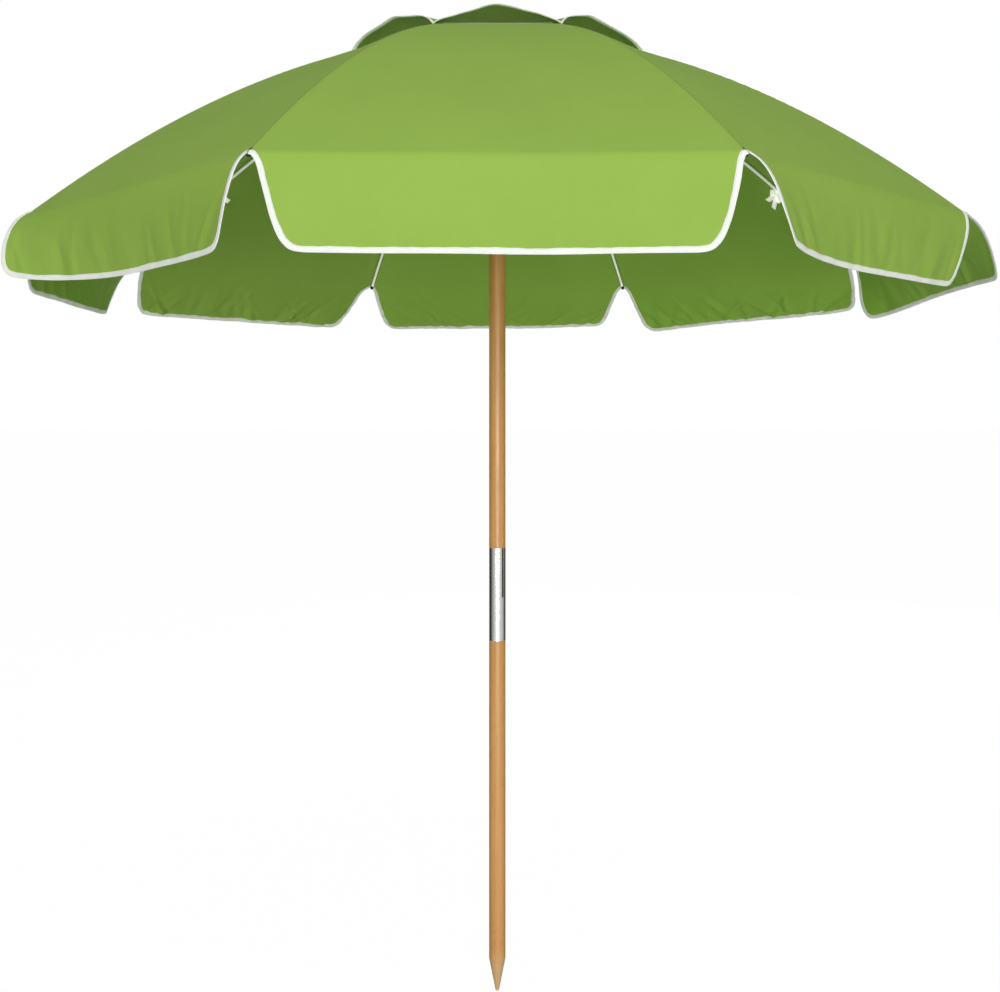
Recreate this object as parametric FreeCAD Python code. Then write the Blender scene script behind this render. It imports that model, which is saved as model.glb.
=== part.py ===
"""Beach umbrella: a two-piece wooden pole with a steel joint sleeve, eight folding ribs with
stretchers and a runner, and an eight-gore canopy with a raised vent and a notched valance.

Millimetres, +Z up, origin at the pole's tip. The front of the umbrella faces -Y.
Each rib, stretcher and canopy panel is drawn once pointing along +X, then turned about the pole.
"""
import FreeCAD
import Part
import math
import os

V = FreeCAD.Vector

# Layout round the pole
SIDES = 8
STEP_DEG = 360.0 / SIDES
HALF_STEP_DEG = STEP_DEG / 2
COS_HALF = math.cos(math.radians(HALF_STEP_DEG))
TAN_HALF = math.tan(math.radians(HALF_STEP_DEG))
FRONT_DEG = -90.0

# Pole
POLE_RADIUS = 19.05
TIP_RADIUS = 4.0
TIP_CONE_LENGTH = 75.0
POLE_TOP = 2190.0

# Steel sleeve that joins the two halves of the pole
SLEEVE_BOTTOM = 815.0
SLEEVE_TOP = 1030.0
SLEEVE_RADIUS = POLE_RADIUS + 0.2
SLEEVE_WALL = 1.2
SLEEVE_BORE = SLEEVE_RADIUS - SLEEVE_WALL
LOWER_TENON_TOP = 893.0
UPPER_SPIGOT_BOTTOM = 895.0
SPIGOT_CLEARANCE = 0.05
PIN_HEIGHT = 915.0
PIN_AZIMUTH_DEG = FRONT_DEG + 41.0
PIN_RADIUS = 2.5
PIN_INNER_END = 6.0
PIN_HEAD_OUT = 2.2
PIN_HEAD_ROUND = 1.2
SLOT_HALF_WIDTH = 2.8
SLOT_CUT_START = 10.0
DIMPLE_HEIGHTS = (998.0, 1022.0)
DIMPLE_AZIMUTH_DEG = FRONT_DEG + 3.0
DIMPLE_BALL_RADIUS = 4.0
DIMPLE_DEPTH = 0.4
NAIL_HEIGHTS = (838.0, 868.0)
NAIL_AZIMUTH_DEG = 90.0
NAIL_SHANK_RADIUS = 1.2
NAIL_HEAD_RADIUS = 2.8
NAIL_HEAD_THICKNESS = 0.9
NAIL_INNER_END = 6.0

# Canopy shape: height of the cloth over a rib, at radius r from the pole's axis
RIM_RADIUS = 1015.0
RIM_HEIGHT = 1746.0
CROWN_RISE = 473.5
CROWN_SLOPE = 0.082
CROWN_BEND = 0.3845 / RIM_RADIUS
CLOTH_THICKNESS = 1.0
SEAM_HALF_GAP = 0.6

# Ribs, as round rods below the cloth
RIB_DROP = 7.0
ROD_RADIUS = 3.0
CROWN_PIVOT_RADIUS = 30.0
KNUCKLE_RADIUS = 350.0
BLADE_HALF_WIDTH = 1.6
BLADE_HALF_HEIGHT = 3.0
EYE_RADIUS = 3.8
WIRE_RADIUS = 1.2
EYE_HOLE_RADIUS = 1.28
CROWN_BLADE_LENGTH = 22.0
CROWN_ROD_START = 46.0
CHEEK_INNER = 2.0
CHEEK_OUTER = 3.4
CHEEK_HALF_HEIGHT = 4.2
CHEEK_REACH = 20.0
ROD_TO_KNUCKLE = 14.0
STRETCHER_DROP = 13.0
TONGUE_LENGTH = 18.0
TIP_CAP_RADIUS = 4.6
TIP_CAP_LENGTH = 14.0

# Runner and stretchers
RUNNER_PIVOT_RADIUS = 30.0
RUNNER_PIVOT_HEIGHT = 1796.0
STRETCHER_RUNNER_BLADE = 32.0
STRETCHER_KNUCKLE_BLADE = 18.0
BLADE_ROD_OVERLAP = 3.0
CROSS_PIN_HALF_LENGTH = 3.2
RUNNER_BORE = POLE_RADIUS + 0.07
RUNNER_NECK_RADIUS = 25.0
RUNNER_BOTTOM = 1736.0
RUNNER_FLANGE_BOTTOM = 1784.0
RUNNER_FLANGE_TOP = 1804.0
RUNNER_FLANGE_RADIUS = 35.0
BLADE_SLOT_HALF_WIDTH = 2.0
RUNNER_SLOT_FLOOR = 25.6
PIN_CHANNEL_HALF_WIDTH = 3.6
PIN_CHANNEL_CLEARANCE = 0.2
SCREW_HEIGHT = 1756.0
SCREW_AZIMUTH_DEG = 90.0
SCREW_RADIUS = 3.0
SCREW_CLEARANCE = 0.05
SCREW_TIP = 19.3
KNOB_START = 29.0
KNOB_LENGTH = 13.0
KNOB_RADIUS = 8.0
KNOB_GRIPS = 6
KNOB_GRIP_RADIUS = 2.2

# Crown
HUB_SOCKET_BOTTOM = 2160.0
HUB_SOCKET_RADIUS = 24.0
HUB_DISC_BOTTOM = 2199.0
HUB_DISC_TOP = 2215.2
HUB_DISC_RADIUS = 36.0
HUB_SLOT_FLOOR = 24.6
WASHER_RADIUS = 34.0
WASHER_THICKNESS = 2.0
STUD_RADIUS = 4.0
STUD_BOTTOM = 2150.0
STUD_TOP = 2245.0
FINIAL_BASE_RADIUS = 22.0
FINIAL_BASE_EDGE = 5.0
FINIAL_CURVE = ((10.0, 11.0), (9.0, 16.0), (16.5, 30.0), (16.5, 42.0), (9.0, 58.0), (0.0, 66.8))

# Canopy panels
VENT_RISE = 1.6
VENT_STATIONS = ((38.0, 0.0), (120.0, 4.0), (200.0, 13.0), (280.0, 28.0), (350.0, 44.0))
GORE_START_RADIUS = 304.0
VALANCE_TOP_GAP = 1.2
VALANCE_HEM = 161.0
NOTCH = (
    (6.5, VALANCE_TOP_GAP), (11.0, 11.0), (17.0, 50.0), (30.0, 105.0), (45.0, 143.0), (77.0, VALANCE_HEM)
)
# How far each valance stands out from straight down, by the way that its gore faces
FLARE_DEG = {0: 28.0, 45: 36.0, 90: 40.0, 135: 37.0, 180: 18.0, 225: 13.0, 270: 1.0, 315: 10.0}

Z_AXIS = V(0, 0, 1)
Y_AXIS = V(0, 1, 0)
ORIGIN = V(0, 0, 0)


def canopy_height(radius):
    """Height of the cloth's middle surface over a rib."""
    return RIM_HEIGHT + CROWN_RISE - CROWN_SLOPE * radius - CROWN_BEND * radius ** 2


def canopy_fall(radius):
    """How steeply the cloth falls away from the pole, as height lost per unit of radius."""
    return CROWN_SLOPE + 2 * CROWN_BEND * radius


def rib_point(radius):
    """Point on a rib's centre line, in the plane of the rib."""
    return V(radius, 0, canopy_height(radius) - RIB_DROP)


def rib_direction(radius):
    """Unit vector along the rib, away from the crown."""
    return V(1, 0, -canopy_fall(radius)).normalize()


def turned(shape, azimuth_deg):
    """A copy of the shape turned about the pole."""
    copy = shape.copy()
    copy.rotate(ORIGIN, Z_AXIS, azimuth_deg)
    return copy


def post(radius, bottom, top):
    """Round post on the pole's axis."""
    return Part.makeCylinder(radius, top - bottom, V(0, 0, bottom), Z_AXIS)


def radial_rod(radius, start, end, height):
    """Round rod pointing away from the pole along +X."""
    return Part.makeCylinder(radius, end - start, V(start, 0, height), V(1, 0, 0))


def cross_rod(radius, half_length, centre):
    """Round rod across the rib's plane."""
    return Part.makeCylinder(radius, 2 * half_length, centre - Y_AXIS * half_length, Y_AXIS)


def flat_bar(start, end, half_height, inner, outer):
    """Flat bar between two points of the rib's plane, lying between two distances from that plane."""
    along = (end - start).normalize()
    up = V(-along.z, 0, along.x) * half_height
    side = Y_AXIS * inner
    corners = [start + up + side, end + up + side, end - up + side, start - up + side]
    outline = Part.makePolygon(corners + corners[:1])
    return Part.Face(outline).extrude(Y_AXIS * (outer - inner))


def parabola_edge(start, end, height_at, fall_at, stretch=1.0):
    """Exact parabolic edge in the XZ plane, for a height curve whose radii are scaled by stretch."""
    middle = (start + end) / 2
    middle_height = height_at(start) - fall_at(start) * (end - start) / 2
    curve = Part.BezierCurve()
    curve.setPoles([
        V(start * stretch, 0, height_at(start)),
        V(middle * stretch, 0, middle_height),
        V(end * stretch, 0, height_at(end)),
    ])
    return curve.toShape()


def curved_rod(start, end):
    """Round rod that follows the rib's centre line between two radii."""
    spine = Part.Wire([parabola_edge(start, end, lambda r: rib_point(r).z, canopy_fall)])
    circle = Part.Wire([Part.makeCircle(ROD_RADIUS, rib_point(start), rib_direction(start))])
    return spine.makePipeShell([circle], True, True)


def eye(centre, half_width, radius=EYE_RADIUS):
    """Rounded end of a blade, before its hole is bored."""
    return cross_rod(radius, half_width, centre)


def joined(shapes):
    """One solid from overlapping shapes."""
    return shapes[0].multiFuse(shapes[1:]).removeSplitter()


def lower_pole():
    """Lower half of the pole, from its blunt point to the tenon inside the sleeve."""
    cone = Part.makeCone(TIP_RADIUS, POLE_RADIUS, TIP_CONE_LENGTH)
    shaft = post(POLE_RADIUS, TIP_CONE_LENGTH, SLEEVE_BOTTOM)
    tenon = post(SLEEVE_BORE, SLEEVE_BOTTOM, LOWER_TENON_TOP)
    return joined([cone, shaft, tenon]).cut(nail_holes())


def nail_holes():
    """Bores for the nails, from inside the tenon out to the sleeve's outer face."""
    bores = []
    for height in NAIL_HEIGHTS:
        bore = radial_rod(NAIL_SHANK_RADIUS, NAIL_INNER_END, SLEEVE_RADIUS, height)
        bores.append(turned(bore, NAIL_AZIMUTH_DEG))
    return Part.makeCompound(bores)


def sleeve_nails():
    nails = []
    for height in NAIL_HEIGHTS:
        shank = radial_rod(NAIL_SHANK_RADIUS, NAIL_INNER_END, SLEEVE_RADIUS, height)
        head = radial_rod(NAIL_HEAD_RADIUS, SLEEVE_RADIUS, SLEEVE_RADIUS + NAIL_HEAD_THICKNESS, height)
        nails.append(turned(joined([shank, head]), NAIL_AZIMUTH_DEG))
    return Part.makeCompound(nails)


def sleeve():
    """Steel tube with an open-topped slot for the pin, nail bores and two dimples."""
    tube = post(SLEEVE_RADIUS, SLEEVE_BOTTOM, SLEEVE_TOP)
    tube = tube.cut(post(SLEEVE_BORE, SLEEVE_BOTTOM, SLEEVE_TOP))
    slot_length = SLEEVE_TOP - PIN_HEIGHT
    slot_corner = V(SLOT_CUT_START, -SLOT_HALF_WIDTH, PIN_HEIGHT)
    slot = Part.makeBox(SLEEVE_RADIUS, 2 * SLOT_HALF_WIDTH, slot_length, slot_corner)
    slot_end = radial_rod(SLOT_HALF_WIDTH, SLOT_CUT_START, SLEEVE_RADIUS + SLOT_CUT_START, PIN_HEIGHT)
    cuts = [turned(slot, PIN_AZIMUTH_DEG), turned(slot_end, PIN_AZIMUTH_DEG), nail_holes()]
    for height in DIMPLE_HEIGHTS:
        centre = V(SLEEVE_RADIUS + DIMPLE_BALL_RADIUS - DIMPLE_DEPTH, 0, height)
        cuts.append(turned(Part.makeSphere(DIMPLE_BALL_RADIUS, centre), DIMPLE_AZIMUTH_DEG))
    for cut in cuts:
        tube = tube.cut(cut)
    return tube


def sleeve_pin():
    """Pin fixed in the upper pole's spigot, with a rounded outer end."""
    pin = radial_rod(PIN_RADIUS, PIN_INNER_END, POLE_RADIUS + PIN_HEAD_OUT, PIN_HEIGHT)
    head_edge = [edge for edge in pin.Edges if edge.BoundBox.XMin > POLE_RADIUS]
    return turned(pin.makeFillet(PIN_HEAD_ROUND, head_edge), PIN_AZIMUTH_DEG)


def upper_pole():
    """Upper half of the pole, with its spigot and the bores for the pin and the finial's stud."""
    shaft = post(POLE_RADIUS, SLEEVE_TOP, POLE_TOP)
    spigot = post(SLEEVE_BORE - SPIGOT_CLEARANCE, UPPER_SPIGOT_BOTTOM, SLEEVE_TOP)
    pin_hole = turned(radial_rod(PIN_RADIUS, PIN_INNER_END, POLE_RADIUS, PIN_HEIGHT), PIN_AZIMUTH_DEG)
    return joined([shaft, spigot]).cut(pin_hole).cut(post(STUD_RADIUS, STUD_BOTTOM, POLE_TOP))


def crown_wire(radius):
    """Ring that all eight ribs turn on."""
    return Part.makeTorus(CROWN_PIVOT_RADIUS, radius, V(0, 0, rib_point(CROWN_PIVOT_RADIUS).z), Z_AXIS)


def crown_hub():
    """Cap on top of the pole, with a slot for each rib's blade and a groove for the ring."""
    socket = post(HUB_SOCKET_RADIUS, HUB_SOCKET_BOTTOM, HUB_DISC_BOTTOM)
    disc = post(HUB_DISC_RADIUS, HUB_DISC_BOTTOM, HUB_DISC_TOP)
    disc_height = HUB_DISC_TOP - HUB_DISC_BOTTOM
    hub = joined([socket, disc]).cut(post(POLE_RADIUS, HUB_SOCKET_BOTTOM, POLE_TOP))
    hub = hub.cut(post(STUD_RADIUS, POLE_TOP, HUB_DISC_TOP))
    slot_corner = V(HUB_SLOT_FLOOR, -BLADE_SLOT_HALF_WIDTH, HUB_DISC_BOTTOM)
    slot = Part.makeBox(HUB_DISC_RADIUS, 2 * BLADE_SLOT_HALF_WIDTH, disc_height, slot_corner)
    for side in range(SIDES):
        hub = hub.cut(turned(slot, HALF_STEP_DEG + side * STEP_DEG))
    return hub.cut(crown_wire(WIRE_RADIUS))


def crown_washer():
    washer = post(WASHER_RADIUS, HUB_DISC_TOP, HUB_DISC_TOP + WASHER_THICKNESS)
    return washer.cut(post(STUD_RADIUS, HUB_DISC_TOP, HUB_DISC_TOP + WASHER_THICKNESS))


def finial():
    seat = HUB_DISC_TOP + WASHER_THICKNESS
    curve = Part.BSplineCurve()
    points = [V(radius, 0, seat + height) for radius, height in FINIAL_CURVE]
    curve.interpolate(points)
    base_edge = V(FINIAL_BASE_RADIUS, 0, seat + FINIAL_BASE_EDGE)
    outline = Part.Wire([
        Part.makeLine(V(0, 0, seat), V(FINIAL_BASE_RADIUS, 0, seat)),
        Part.makeLine(V(FINIAL_BASE_RADIUS, 0, seat), base_edge),
        Part.makeLine(base_edge, points[0]),
        curve.toShape(),
        Part.makeLine(points[-1], V(0, 0, seat)),
    ])
    body = Part.Face(outline).revolve(ORIGIN, Z_AXIS, 360)
    return body.cut(post(STUD_RADIUS, seat, STUD_TOP))


def finial_stud():
    return post(STUD_RADIUS, STUD_BOTTOM, STUD_TOP)


def knuckle():
    """Where the inner and outer parts of a rib meet."""
    return rib_point(KNUCKLE_RADIUS)


def stretcher_pivot():
    """Where the stretcher hangs, square below the rib at the knuckle."""
    along = rib_direction(KNUCKLE_RADIUS)
    return knuckle() + V(along.z, 0, -along.x) * STRETCHER_DROP


def rib_inner():
    crown = rib_point(CROWN_PIVOT_RADIUS)
    crown_end = crown + rib_direction(CROWN_PIVOT_RADIUS) * CROWN_BLADE_LENGTH
    rod_end = KNUCKLE_RADIUS - ROD_TO_KNUCKLE
    pieces = [
        curved_rod(CROWN_ROD_START, rod_end),
        flat_bar(crown, crown_end, BLADE_HALF_HEIGHT, -BLADE_HALF_WIDTH, BLADE_HALF_WIDTH),
        eye(crown, BLADE_HALF_WIDTH),
        cross_rod(WIRE_RADIUS, CHEEK_OUTER, knuckle()),
        cross_rod(WIRE_RADIUS, CHEEK_OUTER, stretcher_pivot()),
    ]
    cheek_start = knuckle() - rib_direction(KNUCKLE_RADIUS) * CHEEK_REACH
    for inner, outer in ((CHEEK_INNER, CHEEK_OUTER), (-CHEEK_OUTER, -CHEEK_INNER)):
        pieces.append(flat_bar(cheek_start, knuckle(), CHEEK_HALF_HEIGHT, inner, outer))
        pieces.append(flat_bar(knuckle(), stretcher_pivot(), CHEEK_HALF_HEIGHT, inner, outer))
        for centre in (knuckle(), stretcher_pivot()):
            side = Y_AXIS * inner
            pieces.append(Part.makeCylinder(CHEEK_HALF_HEIGHT, outer - inner, centre + side, Y_AXIS))
    return joined(pieces).cut(cross_rod(EYE_HOLE_RADIUS, EYE_RADIUS, crown))


def rib_outer():
    """Outer rod with its tongue, and the cap on its tip as a second solid."""
    along = rib_direction(KNUCKLE_RADIUS)
    tongue_end = knuckle() + along * TONGUE_LENGTH
    rod_start = KNUCKLE_RADIUS + (TONGUE_LENGTH - BLADE_ROD_OVERLAP) * along.x
    cap_start = RIM_RADIUS - TIP_CAP_LENGTH * rib_direction(RIM_RADIUS).x
    rod = joined([
        curved_rod(rod_start, cap_start),
        flat_bar(knuckle(), tongue_end, BLADE_HALF_HEIGHT, -BLADE_HALF_WIDTH, BLADE_HALF_WIDTH),
        eye(knuckle(), BLADE_HALF_WIDTH, BLADE_HALF_HEIGHT),
    ]).cut(cross_rod(EYE_HOLE_RADIUS, EYE_RADIUS, knuckle()))
    cap_point = rib_point(cap_start)
    cap_way = rib_direction(cap_start)
    barrel = Part.makeCylinder(TIP_CAP_RADIUS, TIP_CAP_LENGTH, cap_point, cap_way)
    dome = Part.makeSphere(TIP_CAP_RADIUS, cap_point + cap_way * TIP_CAP_LENGTH)
    return Part.makeCompound([rod, joined([barrel, dome])])


def stretcher():
    """Strut from the runner to a rib's knuckle: a round rod with a flat blade at each end."""
    low = V(RUNNER_PIVOT_RADIUS, 0, RUNNER_PIVOT_HEIGHT)
    high = stretcher_pivot()
    along = (high - low).normalize()
    rod_low = low + along * (STRETCHER_RUNNER_BLADE - BLADE_ROD_OVERLAP)
    rod_high = high - along * (STRETCHER_KNUCKLE_BLADE - BLADE_ROD_OVERLAP)
    low_blade_end = low + along * STRETCHER_RUNNER_BLADE
    high_blade_end = high - along * STRETCHER_KNUCKLE_BLADE
    pieces = [
        Part.makeCylinder(ROD_RADIUS, (rod_high - rod_low).Length, rod_low, along),
        flat_bar(low, low_blade_end, BLADE_HALF_HEIGHT, -BLADE_HALF_WIDTH, BLADE_HALF_WIDTH),
        flat_bar(high_blade_end, high, BLADE_HALF_HEIGHT, -BLADE_HALF_WIDTH, BLADE_HALF_WIDTH),
        eye(low, BLADE_HALF_WIDTH, BLADE_HALF_HEIGHT),
        eye(high, BLADE_HALF_WIDTH, BLADE_HALF_HEIGHT),
        cross_rod(WIRE_RADIUS, CROSS_PIN_HALF_LENGTH, low),
    ]
    return joined(pieces).cut(cross_rod(EYE_HOLE_RADIUS, EYE_RADIUS, high))


def runner():
    """Collar that slides on the pole, with a blade slot and a pin channel for each stretcher."""
    neck = post(RUNNER_NECK_RADIUS, RUNNER_BOTTOM, RUNNER_FLANGE_BOTTOM)
    flange = post(RUNNER_FLANGE_RADIUS, RUNNER_FLANGE_BOTTOM, RUNNER_FLANGE_TOP)
    body = joined([neck, flange]).cut(post(RUNNER_BORE, RUNNER_BOTTOM, RUNNER_FLANGE_TOP))
    flange_height = RUNNER_FLANGE_TOP - RUNNER_FLANGE_BOTTOM
    slot_corner = V(RUNNER_SLOT_FLOOR, -BLADE_SLOT_HALF_WIDTH, RUNNER_FLANGE_BOTTOM)
    blade_slot = Part.makeBox(RUNNER_FLANGE_RADIUS, 2 * BLADE_SLOT_HALF_WIDTH, flange_height, slot_corner)
    channel_floor = RUNNER_PIVOT_RADIUS - WIRE_RADIUS - PIN_CHANNEL_CLEARANCE
    channel_top = RUNNER_PIVOT_HEIGHT + WIRE_RADIUS + PIN_CHANNEL_CLEARANCE
    channel_corner = V(channel_floor, -PIN_CHANNEL_HALF_WIDTH, RUNNER_FLANGE_BOTTOM)
    channel_height = channel_top - RUNNER_FLANGE_BOTTOM
    channel_width = 2 * PIN_CHANNEL_HALF_WIDTH
    pin_channel = Part.makeBox(RUNNER_FLANGE_RADIUS, channel_width, channel_height, channel_corner)
    for side in range(SIDES):
        azimuth = HALF_STEP_DEG + side * STEP_DEG
        body = body.cut(turned(blade_slot, azimuth)).cut(turned(pin_channel, azimuth))
    screw_hole = radial_rod(SCREW_RADIUS + SCREW_CLEARANCE, POLE_RADIUS, KNOB_START, SCREW_HEIGHT)
    return body.cut(turned(screw_hole, SCREW_AZIMUTH_DEG))


def runner_screw():
    """Clamping screw with a scalloped knob."""
    shank = radial_rod(SCREW_RADIUS, SCREW_TIP, KNOB_START, SCREW_HEIGHT)
    knob = radial_rod(KNOB_RADIUS, KNOB_START, KNOB_START + KNOB_LENGTH, SCREW_HEIGHT)
    for grip in range(KNOB_GRIPS):
        angle = math.radians(grip * 360.0 / KNOB_GRIPS)
        grip_y = KNOB_RADIUS * math.cos(angle)
        grip_z = SCREW_HEIGHT + KNOB_RADIUS * math.sin(angle)
        centre = V(KNOB_START, grip_y, grip_z)
        knob = knob.cut(Part.makeCylinder(KNOB_GRIP_RADIUS, KNOB_LENGTH, centre, V(1, 0, 0)))
    return turned(joined([shank, knob]), SCREW_AZIMUTH_DEG)


def gore():
    """Main canopy panel, drawn taut from rib to rib. A seam's width parts it from its neighbours."""
    half = CLOTH_THICKNESS / 2
    start_x = GORE_START_RADIUS * COS_HALF
    end_x = RIM_RADIUS * COS_HALF

    def edge(offset):
        def height(radius):
            return canopy_height(radius) + offset
        return parabola_edge(GORE_START_RADIUS, RIM_RADIUS, height, canopy_fall, COS_HALF)

    low, high = edge(-half), edge(half)
    ends = [Part.makeLine(low.Vertexes[n].Point, high.Vertexes[n].Point) for n in (0, -1)]
    side_view = Part.Face(Part.Wire(Part.__sortEdges__([low, ends[1], high, ends[0]])))
    half_width = end_x * TAN_HALF
    sheet = side_view.extrude(Y_AXIS * 2 * half_width)
    sheet.translate(Y_AXIS * -half_width)
    return sheet.common(between_seams(start_x, end_x))


def between_seams(start_x, end_x):
    """Upright wedge between two neighbouring ribs, less the seams."""
    def half_width(x):
        return x * TAN_HALF - SEAM_HALF_GAP / COS_HALF
    near = start_x - SEAM_HALF_GAP
    far = end_x + SEAM_HALF_GAP
    corners = [V(near, -half_width(near), 0), V(far, -half_width(far), 0),
               V(far, half_width(far), 0), V(near, half_width(near), 0)]
    return Part.Face(Part.makePolygon(corners + corners[:1])).extrude(Z_AXIS * STUD_TOP)


def vent_section(radius, lift):
    """Outline across a vent panel: an arch of cloth from rib to rib, raised in the middle."""
    x = radius * COS_HALF
    y = x * TAN_HALF - SEAM_HALF_GAP / COS_HALF
    base = canopy_height(radius) + VENT_RISE
    half = CLOTH_THICKNESS / 2

    def arch(offset):
        ends = V(x, -y, base + offset), V(x, y, base + offset)
        if lift == 0:
            return Part.makeLine(*ends)
        middle = V(x, 0, base + offset + lift)
        return Part.Arc(ends[0], middle, ends[1]).toShape()

    low, high = arch(-half), arch(half)
    sides = [Part.makeLine(V(x, s * y, base - half), V(x, s * y, base + half)) for s in (-1, 1)]
    return Part.Wire(Part.__sortEdges__([low, sides[1], high, sides[0]]))


def vent_panel():
    """One arched panel of the small upper roof."""
    return Part.makeLoft([vent_section(radius, lift) for radius, lift in VENT_STATIONS], True, False)


def valance(flare_deg):
    """Hanging strip below one gore, with half a notch at each end, standing out by the flare angle."""
    crease_x = RIM_RADIUS * COS_HALF
    crease_half = crease_x * TAN_HALF
    half = CLOTH_THICKNESS / 2

    def side(sign):
        points = []
        for inset, depth in NOTCH:
            points.append(V(crease_x - half, sign * (crease_half - inset), RIM_HEIGHT - depth))
        curve = Part.BSplineCurve()
        curve.interpolate(points)
        return curve.toShape(), points[0], points[-1]

    left, left_top, left_bottom = side(-1)
    right, right_top, right_bottom = side(1)
    edges = [left, Part.makeLine(left_bottom, right_bottom), right, Part.makeLine(right_top, left_top)]
    face = Part.Face(Part.Wire(Part.__sortEdges__(edges)))
    strip = face.extrude(V(CLOTH_THICKNESS, 0, 0))
    strip.rotate(V(crease_x, 0, RIM_HEIGHT), Y_AXIS, -flare_deg)
    return strip


def save(name, shape):
    if shape.isNull() or not shape.isValid():
        raise ValueError("bad shape for " + name)
    shape.exportStep(os.path.join("parts", name + ".step"))
    print(name, "solids", len(shape.Solids), "volume", round(shape.Volume))


os.makedirs("parts", exist_ok=True)

single_pieces = {
    "lower_pole": lower_pole(),
    "sleeve": sleeve(),
    "sleeve_nails": sleeve_nails(),
    "sleeve_pin": sleeve_pin(),
    "upper_pole": upper_pole(),
    "crown_hub": crown_hub(),
    "crown_ring": crown_wire(WIRE_RADIUS),
    "crown_washer": crown_washer(),
    "finial": finial(),
    "finial_stud": finial_stud(),
    "runner": runner(),
    "runner_screw": runner_screw(),
}
for node, solid in single_pieces.items():
    save(node, solid)

rib_pieces = {"rib_inner": rib_inner(), "rib_outer": rib_outer(), "stretcher": stretcher()}
gore_pieces = {"vent_panel": vent_panel(), "gore": gore()}
for side_number in range(SIDES):
    suffix = "_" + str(side_number + 1)
    rib_azimuth = HALF_STEP_DEG + side_number * STEP_DEG
    gore_azimuth = side_number * STEP_DEG
    for node, solid in rib_pieces.items():
        save(node + suffix, turned(solid, rib_azimuth))
    for node, solid in gore_pieces.items():
        save(node + suffix, turned(solid, gore_azimuth))
    save("valance" + suffix, turned(valance(FLARE_DEG[int(gore_azimuth)]), gore_azimuth))
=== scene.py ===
from collections import namedtuple
import math
import bpy
import numpy as np
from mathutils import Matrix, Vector


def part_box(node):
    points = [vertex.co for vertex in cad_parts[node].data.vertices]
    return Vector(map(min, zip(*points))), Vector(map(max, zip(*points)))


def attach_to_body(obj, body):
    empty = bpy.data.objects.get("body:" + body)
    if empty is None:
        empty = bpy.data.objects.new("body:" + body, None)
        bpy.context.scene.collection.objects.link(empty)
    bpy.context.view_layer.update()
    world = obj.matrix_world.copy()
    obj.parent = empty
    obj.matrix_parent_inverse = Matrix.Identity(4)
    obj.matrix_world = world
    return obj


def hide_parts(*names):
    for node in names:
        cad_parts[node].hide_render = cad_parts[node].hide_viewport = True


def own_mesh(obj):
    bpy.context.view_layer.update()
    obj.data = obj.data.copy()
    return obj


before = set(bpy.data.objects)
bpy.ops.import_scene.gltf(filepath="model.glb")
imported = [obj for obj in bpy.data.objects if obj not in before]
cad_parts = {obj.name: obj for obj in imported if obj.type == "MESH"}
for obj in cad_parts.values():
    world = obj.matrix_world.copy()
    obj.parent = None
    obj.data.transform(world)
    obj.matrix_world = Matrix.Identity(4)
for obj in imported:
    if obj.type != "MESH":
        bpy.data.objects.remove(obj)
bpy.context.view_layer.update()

# Metres, +Z up, origin at the pole's tip. The umbrella's front faces -Y.
# Sector k is the slice of canopy that faces azimuth 45 * (k - 1) degrees, counted from +X. A point of it
# is (u, v, z): u away from the pole along the sector's middle, v across, z up. Rib k is on its +v side.
SIDES = 8
SECTORS = range(1, SIDES + 1)
STEP = 2 * math.pi / SIDES
COS_HALF = math.cos(STEP / 2)
SIN_HALF = math.sin(STEP / 2)

# The canopy's curve over a rib, as the ribs bend it
RIM_RADIUS = 1.015
RIM_HEIGHT = 1.746
CROWN_RISE = 0.4735
CROWN_SLOPE = 0.082
CROWN_BEND = 0.3845 / RIM_RADIUS
RIB_DROP = 0.007
ROD_RADIUS = 0.003
KNUCKLE_RADIUS = 0.350
CREASE_U = RIM_RADIUS * COS_HALF
CREASE_HALF = RIM_RADIUS * SIN_HALF

# Gores
GORE_START = 0.304
GORE_SAG = 0.008
GORE_WAVE_HEIGHT = 0.0014
GORE_WAVE_STRETCH = 0.45
CREASE_WAVE_HEIGHT = 0.0010
RIM_SAG = 0.003
GORE_ROW = 0.006
RIM_BAND = 0.024
RIM_ROW = 0.003
SEAM_GROOVE = 0.0011
SEAM_GROOVE_WIDTH = 0.0028
PUCKER_PITCH = 0.024
PUCKER_HEIGHT = 0.0006
PUCKER_REACH = 0.016
PUCKER_START = 0.004
CLOTH_COLUMN = 0.0055
SEAM_COLUMNS = (0.0, 0.0015, 0.003, 0.0045, 0.007, 0.010, 0.014)
# Steps along the cloth over which its normals are measured
NORMAL_STEP = 0.0008
GORE_NORMAL_STEP = 0.006
EDGE_STEP = 0.001
# Length of cloth for each metre of radius, near enough for its weave
CLOTH_PER_RADIUS = 1.15

# Vent: the small upper roof, lifted between the ribs
VENT_START = 0.038
VENT_END = 0.350
VENT_RISE = 0.0016
VENT_ROW = 0.006
VENT_WAVE_HEIGHT = 0.0016
VENT_WAVE_STRETCH = 0.3
VENT_GROOVE = 0.0007
VENT_POWER = 3.0
PEAK_ROUND = 0.10
SHOULDER_POWER = 7
# How high each panel's outer edge lifts, where across the panel it is highest, from -1 to 1, the share of the
# lift that it already has close beside the ribs, and how hollow its flanks are
VENT_LIFT = {1: (0.040, 0.1, 0.35, 1.2), 2: (0.044, -0.2, 0.40, 1.1), 3: (0.042, 0.1, 0.32, 1.4),
             4: (0.045, 0.0, 0.35, 1.2), 5: (0.040, -0.15, 0.35, 1.1), 6: (0.0445, 0.05, 0.43, 1.05),
             7: (0.0480, 0.03, 0.27, 1.7), 8: (0.0395, -0.30, 0.44, 1.15)}

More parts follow.
